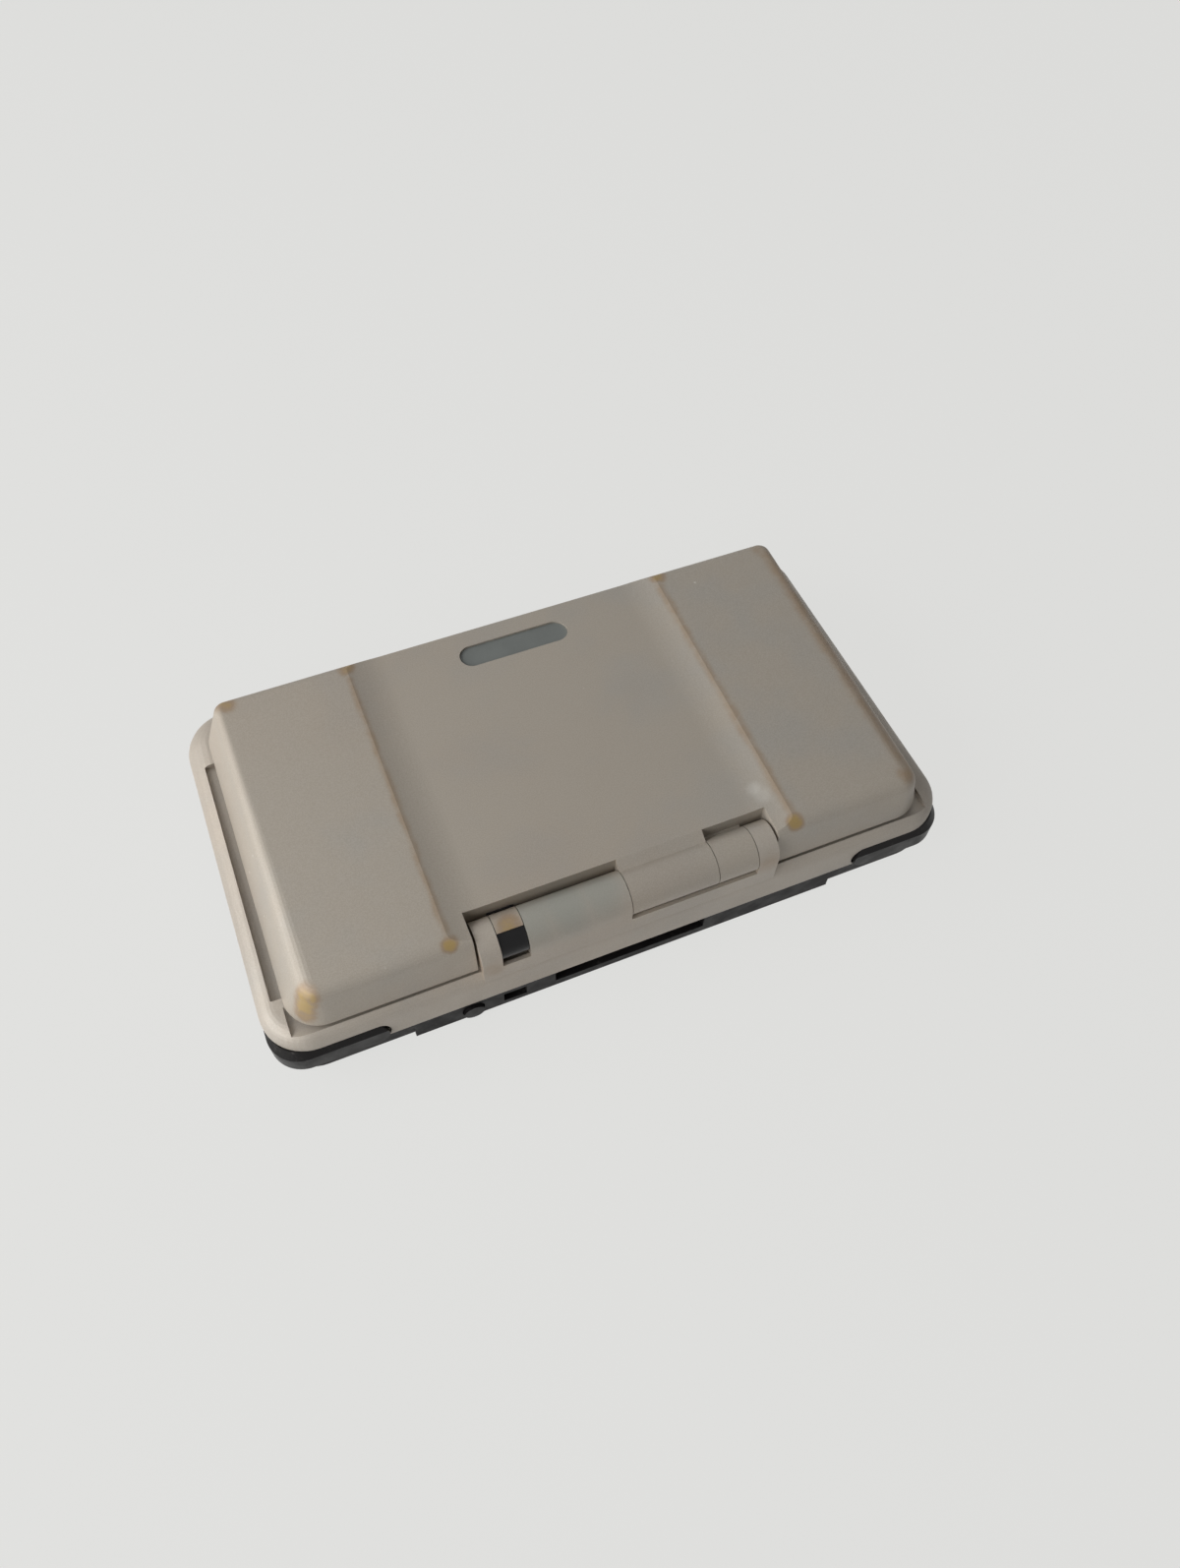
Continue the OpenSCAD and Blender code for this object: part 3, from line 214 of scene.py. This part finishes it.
def silver_paint(name, wear_spots=(), wear_lines=(), scuffs=(), reflection_spots=(), tint=SILVER):
    """Worn satin silver-champagne paint: fine flakes, cloudy tint, yellowed wear, pale marks and, where
    sites are given, cool grey patches of painted reflection.
    """
    paint_metallic, worn_metallic = 0.2, 0.05
    g = Material(name)
    flakes = g.noise(0.22, 1.0, 0.6)
    cloud = g.noise(22, 3.0, 0.55)
    drift = g.noise(45, 2.0, 0.5)
    color = g.mix(g.span(cloud, 0.42, 0.68, 0, 0.4), tint, SILVER_COOL)
    color = g.mix(g.span(drift, 0.45, 0.7, 0, 0.3), color, SILVER_WARM)
    color = g.mix(g.span(flakes, 0.3, 0.7, 0, 0.16), color, FLAKE)
    # Painted reflection: cool grey patches mixed into the colour at the given sites.
    if reflection_spots:
        color = g.mix(spots(g, g.place, reflection_spots), color, COOL_REFLECTION_GREY)
    metallic = paint_metallic
    rough = g.span(g.noise(9, 4, 0.6), 0.3, 0.75, 0.44, 0.54)
    if wear_spots or wear_lines:
        ragged = g.ragged_place()
        marks = [spots(g, ragged, wear_spots)] if wear_spots else []
        marks += lines_along_y(g, ragged, wear_lines)
        patchy = g.span(g.noise(3, 3, 0.6), 0.3, 0.6, 0.72, 1)
        wear = g.math("MULTIPLY", g.largest(marks), patchy, clamp=True)
        deep = g.span(wear, 0.5, 0.95)
        color = g.mix(g.span(wear, 0.0, 0.6, 0, 0.6), color, TAN)
        color = g.mix(g.math("MULTIPLY", deep, 0.75), color, OCHRE)
        metallic = g.span(deep, 0, 1, paint_metallic, worn_metallic)
        rough = g.mix(deep, rough, grey(0.33))
    if scuffs:
        cloudy = g.span(g.noise(2.5, 2, 0.5), 0.3, 0.7, 0.6, 1)
        mark = g.math("MULTIPLY", spots(g, g.place, scuffs), cloudy, clamp=True)
        color = g.mix(mark, color, SCUFF)
        rough = g.mix(mark, rough, grey(0.7))
    specks = g.add("ShaderNodeTexVoronoi", Vector=g.place, Scale=170).outputs["Distance"]
    gate = g.span(g.noise(14, 2), 0.55, 0.62)
    dots = g.math("MULTIPLY", g.span(specks, 0.06, 0.035), gate)
    color = g.mix(g.math("MULTIPLY", dots, 0.5), color, SPECK)
    orange_peel = g.bump(g.noise(1.1, 2, 0.5), 0.012, 0.3)
    normal = g.bump(flakes, 0.006, 0.3, orange_peel)
    return g.finish(Base_Color=color, Metallic=metallic, Roughness=rough, Normal=normal)


def black_plastic(name, grain_mm, gloss, scuff, color=BLACK):
    """Moulded black plastic with fine grain, grey rub marks and broad faded patches."""
    g = Material(name)
    grain = g.noise(grain_mm, 3, 0.6)
    rubbed = g.math("MULTIPLY", g.span(g.noise(5, 5, 0.7), 0.52, 0.72),
                    g.span(g.noise(0.8, 2), 0.4, 0.65))
    shade = g.mix(g.math("MULTIPLY", rubbed, scuff), color, RUBBED_BLACK)
    shade = g.mix(g.span(g.noise(30, 2), 0.4, 0.7, 0, 0.2), shade, FADED_BLACK)
    rough = g.span(g.noise(4, 3, 0.6), 0.3, 0.7, gloss - 0.06, gloss + 0.1)
    return g.finish(Base_Color=shade, Roughness=rough, Specular_IOR_Level=0.2,
                    Normal=g.bump(grain, 0.03, 0.4))


def plain_plastic(name, color, gloss=0.5, grain_mm=0.5, variation=0.2):
    g = Material(name)
    shade = g.mix(g.span(g.noise(6, 4, 0.6), 0.3, 0.7), scaled(color, 1 - variation),
                  scaled(color, 1 + variation))
    rough = g.span(g.noise(3, 3), 0.3, 0.7, gloss - 0.07, gloss + 0.07)
    return g.finish(Base_Color=shade, Roughness=rough, Normal=g.bump(g.noise(grain_mm, 2), 0.02, 0.4))


def metal(name, color, gloss=0.28, brushed=(1, 1, 1)):
    """Bare metal with fine lines, and small patches that are a little darker."""
    g = Material(name)
    lines = g.noise(0.3, 3, 0.6, stretch=brushed)
    shade = g.mix(g.span(g.noise(5, 3), 0.3, 0.7), color, scaled(color, 0.82))
    rough = g.span(lines, 0.3, 0.7, gloss - 0.06, gloss + 0.12)
    return g.finish(Base_Color=shade, Metallic=1.0, Roughness=rough, Normal=g.bump(lines, 0.01, 0.3))


def screen_glass(name, tint):
    """Dark display cover: smooth, with faint smears and hairline scratches."""
    g = Material(name)
    smear = g.noise(12, 4, 0.6)
    hair = g.span(g.noise(0.5, 2, 0.5, stretch=(14, 1, 1)), 0.7, 0.74)
    rough = g.math("ADD", g.span(smear, 0.4, 0.75, 0.06, 0.16), g.math("MULTIPLY", hair, 0.12))
    shade = g.mix(g.math("MULTIPLY", hair, 0.15), tint, grey(0.2))
    shade = g.mix(g.span(smear, 0.4, 0.8, 0, 0.3), shade, scaled(tint, 1.6))
    return g.finish(Base_Color=shade, Roughness=rough)


def rubber(name):
    """Matt rubber in two greys."""
    g = Material(name)
    shade = g.mix(g.span(g.noise(2, 4, 0.7), 0.4, 0.7), (0.03, 0.03, 0.031, 1),
                  (0.075, 0.072, 0.068, 1))
    return g.finish(Base_Color=shade, Roughness=0.8, Normal=g.bump(g.noise(0.4, 3), 0.04, 0.5))


def circuit_board(name):
    """Green solder mask over faint tracks."""
    g = Material(name)
    tracks = g.add("ShaderNodeTexBrick", {"offset": 0.37}, Vector=g.place, Scale=260,
                   Mortar_Size=0.03).outputs["Fac"]
    shade = g.mix(tracks, (0.018, 0.085, 0.045, 1), (0.05, 0.17, 0.08, 1))
    shade = g.mix(g.span(g.noise(3, 3), 0.5, 0.7, 0, 0.4), shade, (0.01, 0.05, 0.03, 1))
    return g.finish(Base_Color=shade, Roughness=0.35, Normal=g.bump(tracks, 0.03, 0.5))


def film(name):
    """Amber ribbon film with lanes of conductors."""
    g = Material(name)
    lanes = g.add("ShaderNodeTexWave", {"bands_direction": "X"}, Vector=g.place,
                  Scale=400).outputs["Fac"]
    shade = g.mix(g.span(lanes, 0.4, 0.6), (0.24, 0.1, 0.02, 1), (0.42, 0.2, 0.05, 1))
    return g.finish(Base_Color=shade, Roughness=0.25, Normal=g.bump(lanes, 0.02, 0.4))


# ---- materials of the nodes -----------------------------------------------------------------

RIDGE_X = 36.4
LID_WEAR = [
    # rear left corner, from its top down its edge
    (63.8, 37, 27, 3.6, 0.9), (64.6, 37.4, 25.4, 3.8, 0.95), (65.2, 37.6, 23.4, 3.8, 0.9),
    (65.8, 37.6, 21.2, 3.6, 0.8),
    # the other three corners
    (62.6, -32.2, 28, 3.6, 0.75), (-62.8, 35.6, 27.4, 3.6, 0.7), (-62.8, -31.4, 27.8, 3.4, 0.35),
    # ends of the two ridges
    (RIDGE_X, 37.2, 28, 2.6, 0.95), (-RIDGE_X, 37.2, 28, 2.8, 1.0),
    (RIDGE_X, -32.2, 28.4, 3, 0.7), (-RIDGE_X - 0.6, -32.2, 28.4, 3, 0.85),
]
LID_WEAR_LINES = [(RIDGE_X, -30, 36, 1.6, 0.45), (-RIDGE_X, -31, 37, 2.1, 0.45),
                  (-64, -31, 37, 3.4, 0.55)]
LID_SCUFFS = [(-33.2, 29.2, 27.8, 2.6, 0.4), (-32.4, 27.4, 27.8, 2.4, 0.45)]
BASE_WEAR = [(29.6, 39.5, 20, 5, 0.45), (-29.4, 40, 22, 5, 0.4)]
# Sites on the top of the base's hinge barrel that get a painted cool grey reflection.
BARREL_REFLECTION_SPOTS = [(20, 36.5, 26, 9, 0.5), (13, 36.5, 26, 9, 0.55), (6, 36.5, 26, 8, 0.5)]
CAP_WEAR = [(24.7, 37.5, 27, 4, 0.8)]

SMOOTH_UP_TO = {"lid_outer_cover": 13.5, "base_upper_casing": 22, "base_lower_casing": 22}
SMOOTH_UP_TO_ELSE = 30


def dress(names, material):
    for name in names.split():
        mesh = NODES[name].data
        mesh.materials.clear()
        mesh.materials.append(material)


def soften(node, angle):
    """Smooth shading up to an angle in degrees, with normals weighted by face area."""
    node.data.shade_smooth()
    if "custom_normal" in node.data.attributes:
        node.data.attributes.remove(node.data.attributes["custom_normal"])
    node.data.set_sharp_from_angle(angle=math.radians(angle))
    weights = node.modifiers.new("weights", "WEIGHTED_NORMAL")
    weights.keep_sharp = True
    weights.weight = 50


def dress_painted_pieces():
    dress("lid_outer_cover", silver_paint("lid_paint", LID_WEAR, LID_WEAR_LINES, LID_SCUFFS))
    dress("base_upper_casing", silver_paint("base_paint", BASE_WEAR, reflection_spots=BARREL_REFLECTION_SPOTS,
                                            tint=SILVER_LIGHT))
    dress("hinge_barrel", silver_paint("barrel_paint"))
    dress("hinge_drum_cap", silver_paint("cap_paint", CAP_WEAR))
    dress("lid_inner_frame", silver_paint("inner_paint"))


def dress_black_pieces():
    dress("base_lower_casing battery_cover", black_plastic("casing_black", 0.4, 0.5, 0.35))
    dress("shoulder_button_right shoulder_button_left",
          black_plastic("button_black", 0.3, 0.36, 0.8, (0.009, 0.008, 0.008, 1)))
    dress("stylus volume_slider headphone_socket", black_plastic("fitting_black", 0.3, 0.4, 0.2))
    dress("control_pad button_a button_b button_x button_y start_button select_button power_button",
          black_plastic("control_black", 0.25, 0.34, 0.15))
    dress("hinge_drum", black_plastic("drum_black", 0.8, 0.16, 0.1, (0.012, 0.012, 0.013, 1)))


def dress_other_pieces():
    dress("badge_inlay", plain_plastic("badge_grey", srgb(128, 132, 129), 0.5, 0.3, 0.06))
    dress("battery", plain_plastic("battery_grey", (0.12, 0.125, 0.13, 1), 0.5))
    dress("power_inlet card_connector cartridge_connector",
          plain_plastic("socket_grey", (0.03, 0.03, 0.032, 1)))
    dress("led_light_pipes", plain_plastic("pipe_clear", (0.35, 0.38, 0.34, 1), 0.2))
    dress("speakers hinge_cam shoulder_switches", plain_plastic("part_grey", grey(0.1)))
    dress("touch_panel", screen_glass("touch_glass", (0.05, 0.056, 0.058, 1)))
    dress("display_window", screen_glass("window_glass", (0.035, 0.04, 0.044, 1)))
    dress("lower_display upper_display", metal("display_back", grey(0.5), 0.35, (1, 8, 1)))
    dress("battery_cover_screw base_screws lid_screws shoulder_pivots hinge_pin_right hinge_pin_left "
          "volume_slider_body microphone", metal("screw_steel", (0.5, 0.5, 0.51, 1)))
    dress("hinge_spring shoulder_springs", metal("spring_steel", (0.42, 0.42, 0.43, 1), 0.3, (1, 1, 6)))
    dress("mainboard wireless_board", circuit_board("board_green"))
    dress("control_pad_mat face_button_mat small_button_mats rubber_feet lid_bumpers", rubber("rubber"))
    dress("base_ribbon lid_ribbon", film("ribbon_film"))


def soften_all():
    for name, node in NODES.items():
        soften(node, SMOOTH_UP_TO.get(name, SMOOTH_UP_TO_ELSE))


# ---- stage ----------------------------------------------------------------------------------

def make_stage():
    """Pale floor that the camera sees as mostly even, with the object's shadow in the rest."""
    even_share = 0.9
    bpy.ops.mesh.primitive_plane_add(size=4, location=(0, 0, 0))
    floor = bpy.context.object
    floor.name = "floor"
    g = Material("floor_pale")
    g.finish(Base_Color=BACKDROP, Roughness=0.9)
    even = g.add("ShaderNodeEmission", Color=BACKDROP, Strength=1.0)
    blend = g.mix_shader(g.math("MULTIPLY", g.shows_backdrop(), even_share), g.shader.outputs[0],
                         even.outputs[0])
    g.put(g.tree.nodes["Material Output"].inputs["Surface"], blend)
    floor.data.materials.append(g.material)


def lamp(name, place, aim, size, watts):
    data = bpy.data.lights.new(name, "AREA")
    data.shape = "RECTANGLE"
    data.size, data.size_y = size
    data.energy = watts
    light = bpy.data.objects.new(name, data)
    bpy.context.scene.collection.objects.link(light)
    light.location = place
    light.rotation_euler = (Vector(aim) - Vector(place)).to_track_quat("-Z", "Y").to_euler()


def make_world():
    """Dim cool light on the object, and a pale backdrop where the world itself is seen."""
    world = bpy.data.worlds.new("world")
    bpy.context.scene.world = world
    world.use_nodes = True
    g = Graph(world.node_tree)
    fill = g.tree.nodes["Background"]
    g.put(fill.inputs["Color"], (0.93, 0.95, 1, 1))
    g.put(fill.inputs["Strength"], 0.09)
    pale = g.add("ShaderNodeBackground", Color=BACKDROP)
    blend = g.mix_shader(g.shows_backdrop(), fill.outputs[0], pale.outputs[0])
    g.put(g.tree.nodes["World Output"].inputs["Surface"], blend)


def make_light():
    lamp("key", place=(0.5, 0.05, 0.26), aim=(0, 0, 0.015), size=(0.8, 0.45), watts=3.2)
    lamp("top", place=(0.45, -0.3, 0.6), aim=(0, 0, 0), size=(0.6, 0.6), watts=0.7)
    make_world()
    bpy.context.scene.view_settings.view_transform = "Standard"


make_camera()
dress_painted_pieces()
dress_black_pieces()
dress_other_pieces()
soften_all()
make_stage()
make_light()
